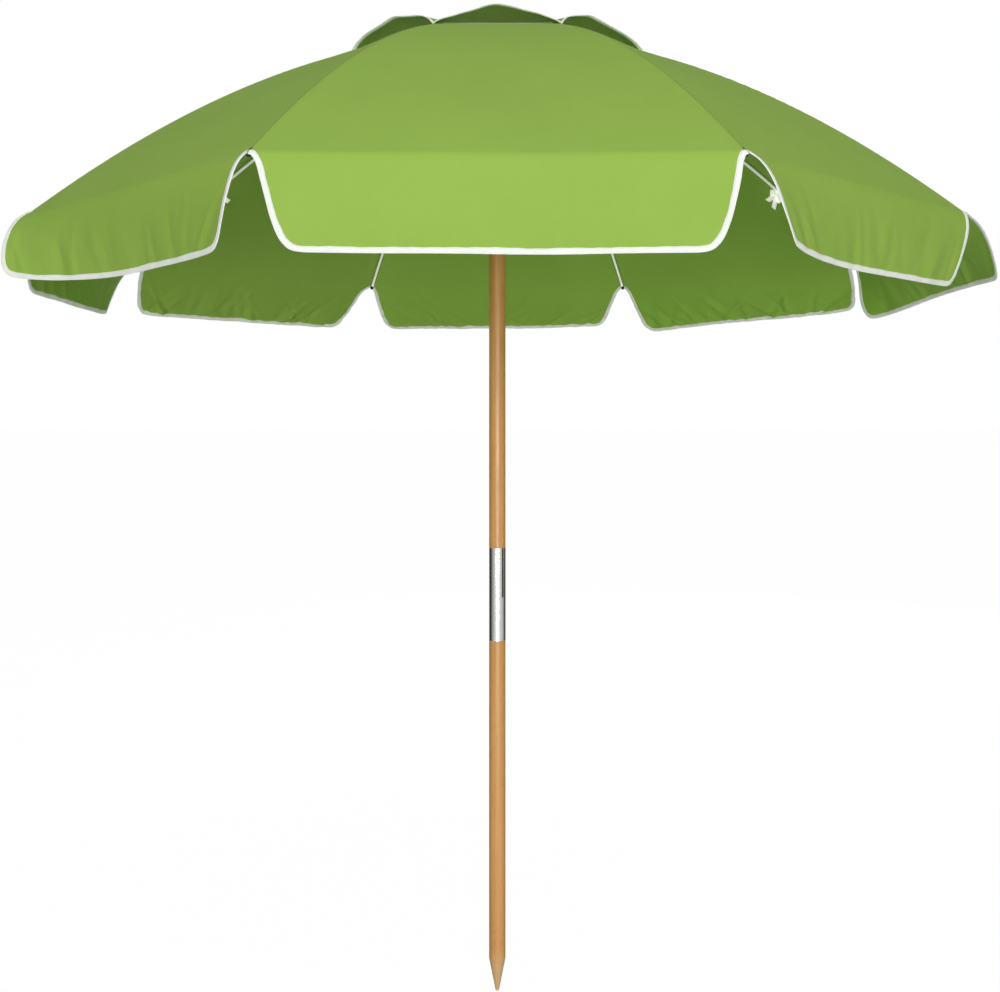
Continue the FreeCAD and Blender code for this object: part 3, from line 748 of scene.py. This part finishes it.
def metal_material(name, colour, rough_low, rough_high, streaks, relief, dents=()):
    """Metal with fine streaks along Z and faint smudges. dents are (place, radius) of small hollows."""
    n = new_material(name)
    place = n.place()
    streak = n.noise(n.scaled(place, streaks), 1.0, 4, 0.6)
    smudge = n.noise(place, 28.0, 3)
    tone = n.mix(n.remap(smudge, 0.35, 0.75, 0.0, 0.30), colour, tuple(0.72 * part for part in colour))
    normal = n.bump(streak, relief, 0.5)
    for middle, radius in dents:
        away = n.add("ShaderNodeVectorMath", {0: place, 1: middle}, operation="DISTANCE")
        blur = n.remap(n.noise(place, 420.0), 0.0, 1.0, -radius / 2, radius / 2)
        uneven = n.plus(away.outputs["Value"], blur)
        normal = n.bump(n.remap(uneven, 0.0, radius), DENT_DEPTH, 1.0, normal)
    rough = n.remap(streak, 0.25, 0.75, rough_low, rough_high)
    n.set(Base_Color=tone, Metallic=1.0, Roughness=rough, Normal=normal)
    return n.owner


def plastic_material(name, colour, dark, roughness, speckle):
    """Moulded plastic with a fine spark-eroded skin and dirt in the hollows of its noise."""
    n = new_material(name)
    place = n.place()
    dirt = n.noise(place, 45.0, 4, 0.6)
    tone = n.mix(n.remap(dirt, 0.5, 0.85, 0.0, 0.5), colour, dark)
    n.set(Base_Color=tone, Roughness=n.remap(dirt, 0.3, 0.8, roughness, roughness + 0.14))
    n.set(Normal=n.bump(n.noise(place, speckle, 3), 0.00006, 0.5))
    return n.owner


def rib_material():
    """Cream fibreglass rod: faint long fibres under gloss, a black cap past the rod's end, and painted light
    as a glow on the rod.
    """
    n = new_material("rib_fibreglass_cream")
    place = n.place()
    cap = n.math("GREATER_THAN", n.pole_distance(place), CAP_START)
    fibres = n.noise(n.scaled(place, (40, 40, 420)), 1.0, 4, 0.6)
    speck = n.noise(place, 600.0, 2)
    tone = n.mix(n.remap(fibres, 0.3, 0.7), ROD_DULL, ROD_PALE)
    tone = n.mix(n.remap(speck, 0.66, 0.75, 0.0, 0.25), tone, ROD_SPECK)
    tone = n.mix(cap, tone, CAP_BLACK)
    rough = n.plus(n.remap(fibres, 0.3, 0.7, 0.30, 0.40), n.times(cap, 0.12))
    # Painted light: every part of the rod except its cap glows, so it looks brighter than the lamps make it
    glow = n.times(n.math("SUBTRACT", 1.0, cap), ROD_PAINTED_GLOW)
    n.set(Base_Color=tone, Roughness=rough, Normal=n.bump(fibres, 0.00005, 0.5))
    n.set(Emission_Color=(1.0, 1.0, 0.95), Emission_Strength=glow)
    return n.owner


def floor_material():
    """Pale floor that runs into the pale background. It throws back less light than it seems to."""
    n = new_material("studio_floor")
    n.set(Base_Color=FLOOR_GREY, Roughness=0.9, Specular_IOR_Level=0.1)
    pale = n.add("ShaderNodeEmission", {"Color": WHITE, "Strength": FLOOR_SHOWN})
    shaded = n.add("ShaderNodeBsdfDiffuse", {"Color": FLOOR_SHADED})
    seen = n.add("ShaderNodeAddShader", {0: pale.outputs[0], 1: shaded.outputs[0]})
    ray = n.add("ShaderNodeLightPath")
    away = n.add("ShaderNodeVectorMath", {0: n.place()}, operation="NORMALIZE")
    mirrored = n.add("ShaderNodeEmission", {"Strength": n.mirrored_studio(away.outputs[0])})
    unseen = n.blend(ray.outputs["Is Glossy Ray"], n.shader.outputs[0], mirrored.outputs[0])
    n.show(n.blend(ray.outputs["Is Camera Ray"], unseen, seen.outputs[0]))
    return n.owner


CLOTH = cloth_material("canopy_cloth_green", through=0.20, under=1.0)
# The vent cloth's lower side carries painted shade and keeps only part of its colour
VENT_CLOTH = cloth_material("vent_cloth_green", through=0.07, under=0.58)
# The white binding and the tie tape carry painted light, a glow that brightens them beyond the lamps
WHITE_TAPE = tape_material("white_binding", (0.95, 0.96, 0.94), (0.78, 0.79, 0.74),
                           stitch_lines=(0.0076, 0.0108), glow=0.14)
TIE_TAPE = tape_material("white_tie_tape", (0.97, 0.97, 0.93), (0.80, 0.80, 0.73), stitch_lines=(), glow=0.38)
GREEN_TAPE = tape_material("green_seam_tape", (0.330, 0.510, 0.076), (0.25, 0.40, 0.055),
                           stitch_lines=(0.0020, 0.0140))
SLOT_MATERIALS = {
    "wood": wood_material(),
    "sleeve_steel": metal_material("sleeve_steel_plated", (0.86, 0.87, 0.83), 0.18, 0.25,
                                   streaks=(300, 300, 6), relief=0.00001, dents=SLEEVE_DENTS),
    "bright_steel": metal_material("bright_steel_turned", (0.70, 0.70, 0.69), 0.22, 0.38,
                                   streaks=(90, 90, 90), relief=0.00003),
    "fitting_plastic": plastic_material("fitting_plastic_white", (0.76, 0.76, 0.72), (0.55, 0.53, 0.47),
                                        roughness=0.40, speckle=900.0),
    "dark_plastic": plastic_material("dark_plastic_moulded", (0.022, 0.022, 0.024), (0.06, 0.06, 0.06),
                                     roughness=0.38, speckle=900.0),
    "rib_fibreglass": rib_material(),
    "stretcher_steel": plastic_material("stretcher_white_enamel", (0.80, 0.80, 0.77), (0.58, 0.57, 0.52),
                                        roughness=0.26, speckle=240.0),
}


def dress_frame():
    """Gives each CAD node the material of its slot."""
    for node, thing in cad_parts.items():
        for slot in thing.material_slots:
            name = slot.material.name.split(".")[0] if slot.material else ""
            if name in SLOT_MATERIALS:
                slot.material = SLOT_MATERIALS[name]


# ---------------------------------------------------------------- canopy


def rows_between(start, end, step):
    return np.linspace(start, end, int(round((end - start) / step)) + 1)


def outward_length(start, end):
    """Length of the cloth along the middle of a sector, between two rib radii."""
    radius = np.linspace(start, end, 200)
    points = np.stack([radius * COS_HALF, canopy_height(radius)], axis=-1)
    return float(length_along(points)[-1])


def outline_path():
    """A valance's bound edge in its flat chart, from one rib's line round the hem to the other's."""
    left = np.stack([-(CREASE_HALF - NOTCH_CURVE[:, 0]), NOTCH_CURVE[:, 1]], axis=-1)
    right = left[::-1] * (-1, 1)
    hem_half = CREASE_HALF - NOTCH[-1][0]
    hem = np.stack([rows_between(-hem_half, hem_half, HEM_STEP)[1:-1]] * 2, axis=-1)
    hem[:, 1] = HEM_DEPTH
    return np.vstack([left, hem, right])


def surface_normal(surface, v, depth):
    """Unit normals, pointing out of the umbrella."""
    sideways = np.where(np.asarray(depth) < 0, GORE_NORMAL_STEP, NORMAL_STEP)
    inward = np.where(np.asarray(v) > 0, -sideways, sideways)
    across = (surface(v + inward, depth) - surface(v, depth)) * np.sign(inward)[..., None]
    along = surface(v, depth + NORMAL_STEP) - surface(v, depth - NORMAL_STEP)
    return unit(np.cross(along, across))


def folded_tape(along, waves, half_thickness, place_at):
    """Rings of a tape folded over an edge, and their UVs. place_at gives points and normals for an inset."""
    rings, uvs = [], []
    for share, side in TAPE_SECTION:
        points, normals = place_at(share)
        offset = side * half_thickness * (1 + TAPE_UNEVEN_THICKNESS * waves.at(along, 1.0))
        rings.append(points + normals * offset[:, None])
        across = share if side >= 0 else 2 - share
        uvs.append(np.stack([np.full(len(along), across * TAPE_WIDTH), along], axis=-1))
    return np.stack(rings, axis=1), np.stack(uvs, axis=1)


def inward_of(path):
    """Unit vectors square to a flat path, on its left-hand side as depth grows downward."""
    way = unit(np.gradient(path, axis=0))
    return np.stack([way[:, 1], -way[:, 0]], axis=-1)


def bound_edge(surface, path, waves):
    """Tape folded over an edge that follows a path in the cloth's flat chart."""
    along = length_along(path)
    inward = inward_of(path)
    wide = TAPE_WIDTH * (1 + TAPE_UNEVEN_WIDTH * waves.at(along, 0.0))

    def place_at(share):
        v, depth = (path + inward * (share * wide)[:, None]).T
        return surface(v, depth), surface_normal(surface, v, depth)

    return folded_tape(along, waves, TAPE_HALF, place_at)


def edge_tape(name, surface, shares, waves, half_thickness=TAPE_HALF):
    """Tape over a panel's straight edge. surface takes a share across and a distance in from the edge."""
    along = length_along(surface(shares, np.zeros(len(shares))))

    def place_at(share):
        inset = np.full(len(shares), share * TAPE_WIDTH)
        here = surface(shares, inset)
        before = np.clip(shares - EDGE_STEP, -1, 1)
        after = np.clip(shares + EDGE_STEP, -1, 1)
        across = surface(after, inset) - surface(before, inset)
        normal = unit(np.cross(surface(shares, inset + EDGE_STEP) - here, across))
        return here, normal * np.sign(normal[:, 2:])

    return add_swept(name, [folded_tape(along, waves, half_thickness, place_at)], WHITE_TAPE)


def roof_uvs(sector, radius, shares, shift):
    """A roof panel's place in the weave, and its distances from and along its seams."""
    half_width = radius * SIN_HALF
    along = radius * CLOTH_PER_RADIUS
    seam = np.stack(np.broadcast_arrays((1 - np.abs(shares)) * half_width, along), axis=-1)
    return {"UVMap": sector_uv(sector, shares * half_width, along + shift), "Seam": seam}


def roof_area(start, end):
    """Flat area of a roof panel between two rib radii, and its length."""
    length = outward_length(start, end)
    return length * SIN_HALF * (start + end), length


def attach(cloth, tape, body):
    """A panel's cloth and tape turn with its body, each on its own mesh, and the body's CAD part is hidden.
    """
    for piece in (cloth, tape):
        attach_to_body(piece, body)
        gather(piece)
    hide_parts(body)


def make_gore(sector):
    shares = cross_shares()[None, :]
    radius = np.concatenate([rows_between(GORE_START, RIM_RADIUS - RIM_BAND, GORE_ROW),
                             rows_between(RIM_RADIUS - RIM_BAND, RIM_RADIUS, RIM_ROW)[1:]])[:, None]
    points = gore_surface(sector, radius, shares)
    cloth = add_sheet(f"gore_cloth_{sector}", points, roof_uvs(sector, radius, shares, 0), CLOTH)

    def top_surface(share, inset):
        return gore_surface(sector, GORE_START + inset, share)

    tape = edge_tape(f"gore_top_tape_{sector}", top_surface, rows_between(-1, 1, GORE_TAPE_STEP),
                     TAPE_WAVES[sector], TAPE_HALF / 2)
    attach(cloth, tape, f"gore_{sector}")
    area, length = roof_area(GORE_START, RIM_RADIUS)
    return cloth, tape, (2 * CREASE_HALF, length), area


def make_vent(sector):
    shares = cross_shares()[None, ::2]
    radius = rows_between(VENT_START, VENT_END, VENT_ROW)[:, None]
    points = vent_surface(sector, radius, shares)
    cloth = add_sheet(f"vent_cloth_{sector}", points, roof_uvs(sector, radius, shares, 2), VENT_CLOTH)

    def edge_surface(share, inset):
        return vent_surface(sector, VENT_END - inset, share)

    tape = edge_tape(f"vent_tape_{sector}", edge_surface, rows_between(-1, 1, VENT_TAPE_STEP),
                     TAPE_WAVES[sector])
    attach(cloth, tape, f"vent_panel_{sector}")
    area, length = roof_area(VENT_START, VENT_END)
    return cloth, tape, (2 * VENT_END * SIN_HALF, length), area


def make_valance(sector):
    shares = cross_shares()[None, :]
    notch = np.vstack([[(0.0, depth) for depth in (0.0, 0.0025, 0.005)], NOTCH_CURVE])
    half_width = (CREASE_HALF - notch[:, 0])[:, None]
    depth = notch[:, 1][:, None]
    v = shares * half_width
    points = valance_surface(sector, v, depth)
    hem_distance = np.broadcast_to(HEM_DEPTH - depth + 0.02, v.shape)
    seam = np.stack([hem_distance, v], axis=-1)
    uvs = {"UVMap": sector_uv(sector, v, RIM_RADIUS * CLOTH_PER_RADIUS + depth), "Seam": seam}
    cloth = add_sheet(f"valance_cloth_{sector}", points, uvs, CLOTH)

    def surface(across, down):
        return flat_surface(sector, across, down)

    edge = bound_edge(surface, outline_path(), TAPE_WAVES[sector])
    tape = add_swept(f"valance_tape_{sector}", [edge], WHITE_TAPE)
    attach(cloth, tape, f"valance_{sector}")
    widths = half_width[1:, 0] + half_width[:-1, 0]
    area = float(np.sum(widths * np.diff(depth[:, 0])))
    return cloth, tape, (2 * CREASE_HALF, HEM_DEPTH), area


def seam_strip(name, rib, start, end, surface, drop, body):
    """Tape under the seam along one rib, from both neighbouring sectors' surfaces."""
    left, right = rib, rib % SIDES + 1
    radius = rows_between(start, end, SEAM_TAPE_ROW)
    columns = []
    for x in np.linspace(-SEAM_TAPE_HALF, SEAM_TAPE_HALF, 9):
        sector, side = (left, 1) if x < 0 else (right, -1)
        share = side * (1 - abs(x) / (radius * SIN_HALF))
        columns.append(surface(sector, radius, share) - np.array([0, 0, drop]))
    top = np.stack(columns, axis=1)
    low = top - np.array([0, 0, SEAM_TAPE_THICKNESS])
    rings = np.concatenate([top, low[:, ::-1]], axis=1)
    across = np.concatenate([np.linspace(0, 2 * SEAM_TAPE_HALF, 9), np.linspace(2 * SEAM_TAPE_HALF, 0, 9)])
    uv = np.stack(np.broadcast_arrays(across[None, :], radius[:, None]), axis=-1)
    strip = add_swept(name, [(rings, uv)], GREEN_TAPE)
    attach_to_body(strip, body)
    return strip


def ribbon(path, widths, normals, thickness=TIE_THICKNESS, width=TIE_WIDTH):
    """Rings of a flat tape along a path. widths and normals are unit vectors at each point."""
    path, widths, normals = (np.asarray(value, float) for value in (path, widths, normals))
    sides = ((-0.5, 0.5), (-0.25, 0.62), (0.0, 0.66), (0.25, 0.62), (0.5, 0.5),
             (0.5, -0.5), (0.25, -0.38), (0.0, -0.34), (-0.25, -0.38), (-0.5, -0.5))
    rings = np.stack([path + widths * (a * width) + normals * (b * thickness) for a, b in sides], axis=1)
    along = length_along(path)
    across = np.array([(a + 0.5) * width for a, _ in sides])
    uv = np.stack(np.broadcast_arrays(across[None, :], along[:, None]), axis=-1)
    return rings, uv


def tie_strips(rib):
    """Bow of tape round a rib: a turn round the rod, two loops, two tails and a small knot.

    The axes are the rib's own: along it, across it and square to both.
    """
    random = np.random.default_rng(800 + rib)
    strips = []
    turn = np.linspace(0, 2 * math.pi, 21)
    reach = ROD_RADIUS + BOW_GAP
    path = np.stack([0 * turn, reach * np.sin(turn), reach * np.cos(turn)], axis=-1)
    outward = np.stack([0 * turn, np.sin(turn), np.cos(turn)], axis=-1)
    strips.append(ribbon(path, np.tile([1.0, 0, 0], (21, 1)), outward))
    knot = np.array([0.001, 0.001, -reach - KNOT_DROP])
    turn = np.linspace(0, 2 * math.pi, 15)
    path = knot + np.stack([KNOT_LENGTH * np.cos(turn), 0 * turn, KNOT_HEIGHT * np.sin(turn)], axis=-1)
    outward = np.stack([np.cos(turn), 0 * turn, np.sin(turn)], axis=-1)
    strips.append(ribbon(path, np.tile([0, 1.0, 0], (15, 1)), outward, KNOT_THICKNESS, KNOT_WIDTH))
    for way in (-1, 1):
        size = random.uniform(0.85, 1.1)
        turn = np.linspace(-0.9 * math.pi, 0.9 * math.pi, 19)
        long = LOOP_REACH * size * (1 + np.cos(turn))
        open_by = LOOP_OPEN * size * np.sin(turn) * (1 + 0.2 * np.cos(turn))
        path = knot + np.stack([way * long, open_by, -0.55 * long], axis=-1)
        width = unit(np.tile([way * 0.45, 0.0, 0.89], (19, 1)))
        strips.append(ribbon(path, width, np.cross(unit(np.gradient(path, axis=0)), width)))
        reach_down = np.linspace(0, TAIL_LENGTH * random.uniform(0.85, 1.1), 13)
        swing = way * (0.003 + 0.16 * reach_down + 4.0 * reach_down ** 2)
        curl = 0.0016 * np.sin(reach_down / 0.007 + rib)
        path = knot + np.stack([swing, 0.002 * way + curl, -reach_down], axis=-1)
        twist = random.uniform(-0.5, 0.5) + reach_down / TAIL_LENGTH * random.uniform(-0.7, 0.7)
        width = np.stack([np.cos(twist), np.sin(twist), 0 * twist], axis=-1)
        strips.append(ribbon(path, width, np.cross(unit(np.gradient(path, axis=0)), width)))
    return strips


def make_tie(rib):
    angle = (rib - 0.5) * STEP
    radial = np.array([math.cos(angle), math.sin(angle), 0])
    side = np.array([-math.sin(angle), math.cos(angle), 0])
    out = unit(radial - canopy_fall(TIE_RADIUS) * np.array([0, 0, 1]))
    up = np.cross(out, side)
    centre = radial * TIE_RADIUS + np.array([0, 0, canopy_height(TIE_RADIUS) - RIB_DROP])
    placed = []
    for rings, uv in tie_strips(rib):
        world = centre + rings[..., :1] * out + rings[..., 1:2] * side + rings[..., 2:] * up
        placed.append((world, uv))
    tie = add_swept(f"rib_tie_{rib}", placed, TIE_TAPE)
    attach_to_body(tie, f"rib_outer_{rib}")
    return tie


def make_crown_patch():
    """Round reinforcement over the vent panels' inner ends, clamped by the finial."""
    radius = np.linspace(PATCH_HOLE, PATCH_RADIUS, 14)[:, None]
    angle = np.linspace(0, 2 * math.pi, 97)[None, :]
    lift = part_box("crown_washer")[1].z + PATCH_GAP
    over = canopy_height(radius) + VENT_RISE + PATCH_OVER_VENT
    height = np.minimum(lift, over) + 0 * angle
    points = np.stack([radius * np.cos(angle), radius * np.sin(angle), height], axis=-1)
    seam = np.stack(np.broadcast_arrays(PATCH_RADIUS - radius + 0.002, PATCH_RADIUS * angle), axis=-1)
    uvs = {"UVMap": points[..., :2] + 7, "Seam": seam}
    patch = add_sheet("crown_patch", points, uvs, CLOTH)
    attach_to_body(patch, "upper_half")


def make_canopy():
    for sector in SECTORS:
        gore, top_tape, gore_flat, gore_area = make_gore(sector)
        vent, vent_tape, vent_flat, vent_area = make_vent(sector)
        valance, hem_tape, valance_flat, valance_area = make_valance(sector)
    for rib in SECTORS:
        seam_strip(f"seam_tape_outer_{rib}", rib, KNUCKLE_RADIUS, RIM_RADIUS - 0.004, gore_surface,
                   OUTER_TAPE_DROP, f"rib_outer_{rib}")
        seam_strip(f"seam_tape_inner_{rib}", rib, VENT_START + 0.010, KNUCKLE_RADIUS - 0.014, vent_surface,
                   INNER_TAPE_DROP, f"rib_inner_{rib}")
        make_tie(rib)
    make_crown_patch()


# ---------------------------------------------------------------- stage, light and camera


def make_stage():
    corners = np.array([[0, 0], [1, 0], [1, 1], [0, 1]])
    points = [[x, y, 0] for x, y in (2 * corners - 1) * FLOOR_SIZE]
    floor = add_object("floor", points, [[0, 1, 2, 3]], {"UVMap": corners}, floor_material())


def aim(thing, target):
    way = Vector(target) - thing.location
    thing.rotation_euler = way.to_track_quat("-Z", "Y").to_euler()


def area_light(name, location, target, width, height, power, in_gloss=True):
    data = bpy.data.lights.new(name, "AREA")
    data.shape = "RECTANGLE"
    data.size = width
    data.size_y = height
    data.energy = power
    light = bpy.data.objects.new(name, data)
    light.location = location
    light.visible_glossy = in_gloss
    bpy.context.scene.collection.objects.link(light)
    aim(light, target)


def make_light():
    """World and lamps. Surfaces and reflections see a dimmer, uneven studio; the camera sees plain white."""
    world = bpy.data.worlds.new("studio")
    bpy.context.scene.world = world
    n = Nodes(world)
    shown = n.tree.nodes["Background"]
    n.feed(shown.inputs["Color"], WHITE)
    n.feed(shown.inputs["Strength"], 1.0)
    way = n.add("ShaderNodeTexCoord").outputs["Generated"]
    seen = n.add("ShaderNodeLightPath")
    lit = {0: seen.outputs["Is Glossy Ray"], 2: n.facing(way, *STUDIO_DIFFUSE), 3: n.mirrored_studio(way)}
    strength = n.add("ShaderNodeMix", lit).outputs[0]
    around = n.add("ShaderNodeBackground", {"Color": WHITE, "Strength": strength})
    n.show(n.blend(seen.outputs["Is Camera Ray"], around.outputs[0], shown.outputs[0]))
    canopy_middle = (0, 0, 1.6)
    area_light("key_high", (0.7, -7.0, 2.3), canopy_middle, 4.4, 2.2, 128)
    area_light("key_low", (0.3, -7.0, 0.6), canopy_middle, 4.0, 1.0, 162)
    area_light("top_soft", (0, -1.5, 6.0), canopy_middle, 4.0, 4.0, 40)
    area_light("back_right", (3.8, 5.4, 2.3), canopy_middle, 3.6, 1.2, 125, in_gloss=False)


def make_camera():
    """Level camera at chest height in front of the umbrella, its picture shifted to hold the whole of it."""
    data = bpy.data.cameras.new("camera")
    data.sensor_width = SENSOR_WIDTH
    data.lens = CAMERA_LENS
    data.shift_x, data.shift_y = CAMERA_SHIFT
    camera = bpy.data.objects.new("camera", data)
    camera.location = CAMERA_PLACE
    camera.rotation_euler = (math.pi / 2, 0, 0)
    bpy.context.scene.collection.objects.link(camera)
    bpy.context.scene.camera = camera


bpy.context.scene.view_settings.view_transform = "Standard"
make_camera()
dress_frame()
make_canopy()
make_stage()
make_light()
